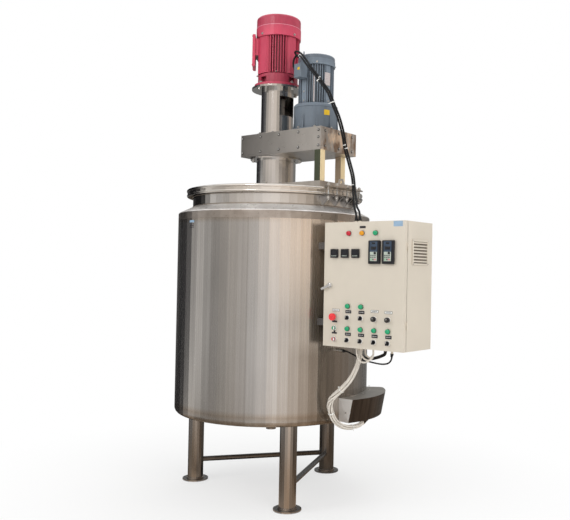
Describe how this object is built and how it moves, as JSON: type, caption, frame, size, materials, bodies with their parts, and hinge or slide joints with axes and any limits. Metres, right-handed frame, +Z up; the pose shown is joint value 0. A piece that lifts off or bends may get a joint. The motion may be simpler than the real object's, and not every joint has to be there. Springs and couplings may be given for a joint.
{
  "type": "mixing tank",
  "caption": "Jacketed stainless mixing tank on tubular legs, with a belt-driven top agitator drive, a heater cover and a wall-type control cabinet on its side.",
  "frame": {"origin": "centre of the outer box, on the floor under the legs", "axes": "+Z up; +X from the main motor's side towards the control cabinet, along the drive bridge; -Y is the side the cabinet door faces"},
  "size_m": [1.817, 1.235, 3.0573],
  "materials": {
    "brushed_stainless": "brushed",
    "polished_stainless": "polished",
    "stainless_pipe": "satin",
    "red_enamel": "gloss",
    "grey_enamel": "semi-gloss",
    "beige_powder_coat": "satin",
    "black_plastic": "matt",
    "machined_steel": "machined",
    "red_plastic": "gloss",
    "green_plastic": "gloss",
    "pale_cable_sheath": "matt",
    "black_cable_sheath": "satin",
    "zinc_plate": "satin"
  },
  "bodies": {
    "plant": {"vessel_wall": "brushed_stainless", "vessel_bottom": "brushed_stainless", "jacket_wall": "brushed_stainless", "jacket_shoulder": "brushed_stainless", "jacket_bottom": "brushed_stainless", "cover_front": "brushed_stainless", "cover_rear": "brushed_stainless", "bridge_beam": "brushed_stainless", "bridge_clamp_right": "brushed_stainless", "bridge_clamp_left": "brushed_stainless", "lower_column": "brushed_stainless", "belt_box_guard": "brushed_stainless", "belt_box_floor": "brushed_stainless", "belt_box_top": "brushed_stainless", "post_front": "brushed_stainless", "post_rear": "brushed_stainless", "upper_column": "brushed_stainless", "heater_cover": "brushed_stainless", "cabinet_bracket_lower": "brushed_stainless", "cabinet_bracket_upper": "brushed_stainless", "rim_flange": "polished_stainless", "drain_outlet": "stainless_pipe", "leg_left": "stainless_pipe", "leg_front": "stainless_pipe", "leg_rear": "stainless_pipe", "tie_left_rear": "stainless_pipe", "tie_front_rear": "stainless_pipe", "main_motor_endbell": "red_enamel", "main_motor_frame": "red_enamel", "main_motor_cowl": "red_enamel", "main_motor_box": "red_enamel", "gear_housing": "grey_enamel", "gear_motor_frame": "grey_enamel", "gear_motor_cowl": "grey_enamel", "gear_motor_box": "grey_enamel", "cabinet_body": "beige_powder_coat", "side_louvre": "beige_powder_coat", "drive_coupling": "machined_steel", "probe_boss": "zinc_plate", "heater_loom": "pale_cable_sheath", "gear_motor_cable": "black_cable_sheath", "main_motor_cable": "black_cable_sheath", "probe_cable": "black_cable_sheath"},
    "door": {"cabinet_door": "beige_powder_coat", "keypad_left": "black_plastic", "keypad_right": "black_plastic"},
    "door_latch": {"door_latch": "zinc_plate"},
    "emergency_stop": {"emergency_stop": "red_plastic"},
    "start_button": {"start_button": "green_plastic"},
    "stop_button": {"stop_button": "red_plastic"},
    "speed_knob_left": {"speed_knob_left": "black_plastic"},
    "speed_knob_right": {"speed_knob_right": "black_plastic"},
    "selector_upper_left": {"selector_upper_left": "black_plastic"},
    "selector_upper_right": {"selector_upper_right": "black_plastic"},
    "selector_lower_1": {"selector_lower_1": "black_plastic"},
    "selector_lower_2": {"selector_lower_2": "black_plastic"},
    "selector_lower_3": {"selector_lower_3": "black_plastic"},
    "selector_lower_4": {"selector_lower_4": "black_plastic"}
  },
  "joints": [
    {"name": "door_hinge", "type": "hinge", "parent": "plant", "child": "door", "pos_m": [0.90355, -0.2647, 1.325], "axis": [0, 0, 1], "range_deg": [0, 120]},
    {"name": "latch_turn", "type": "hinge", "parent": "door", "child": "door_latch", "pos_m": [0.40435, -0.2892, 1.319], "axis": [0, -1, 0], "range_deg": [0, 90]},
    {"name": "emergency_stop_push", "type": "slide", "parent": "door", "child": "emergency_stop", "axis": [0, 1, 0], "range_m": [0, 0.005], "stiffness_N_per_m": 600, "springref_m": -0.004},
    {"name": "start_push", "type": "slide", "parent": "door", "child": "start_button", "axis": [0, 1, 0], "range_m": [0, 0.004], "stiffness_N_per_m": 500, "springref_m": -0.003},
    {"name": "stop_push", "type": "slide", "parent": "door", "child": "stop_button", "axis": [0, 1, 0], "range_m": [0, 0.004], "stiffness_N_per_m": 500, "springref_m": -0.003},
    {"name": "speed_knob_left_turn", "type": "hinge", "parent": "door", "child": "speed_knob_left", "pos_m": [0.70945, -0.2892, 1.142], "axis": [0, -1, 0], "range_deg": [-150, 150]},
    {"name": "speed_knob_right_turn", "type": "hinge", "parent": "door", "child": "speed_knob_right", "pos_m": [0.79945, -0.2892, 1.142], "axis": [0, -1, 0], "range_deg": [-150, 150]},
    {"name": "selector_upper_left_turn", "type": "hinge", "parent": "door", "child": "selector_upper_left", "pos_m": [0.52945, -0.2892, 1.142], "axis": [0, -1, 0], "range_deg": [-45, 45]},
    {"name": "selector_upper_right_turn", "type": "hinge", "parent": "door", "child": "selector_upper_right", "pos_m": [0.61945, -0.2892, 1.142], "axis": [0, -1, 0], "range_deg": [-45, 45]},
    {"name": "selector_lower_1_turn", "type": "hinge", "parent": "door", "child": "selector_lower_1", "pos_m": [0.52945, -0.2892, 1.017], "axis": [0, -1, 0], "range_deg": [-45, 45]},
    {"name": "selector_lower_2_turn", "type": "hinge", "parent": "door", "child": "selector_lower_2", "pos_m": [0.61945, -0.2892, 1.017], "axis": [0, -1, 0], "range_deg": [-45, 45]},
    {"name": "selector_lower_3_turn", "type": "hinge", "parent": "door", "child": "selector_lower_3", "pos_m": [0.70945, -0.2892, 1.017], "axis": [0, -1, 0], "range_deg": [-45, 45]},
    {"name": "selector_lower_4_turn", "type": "hinge", "parent": "door", "child": "selector_lower_4", "pos_m": [0.79945, -0.2892, 1.017], "axis": [0, -1, 0], "range_deg": [-45, 45]}
  ]
}
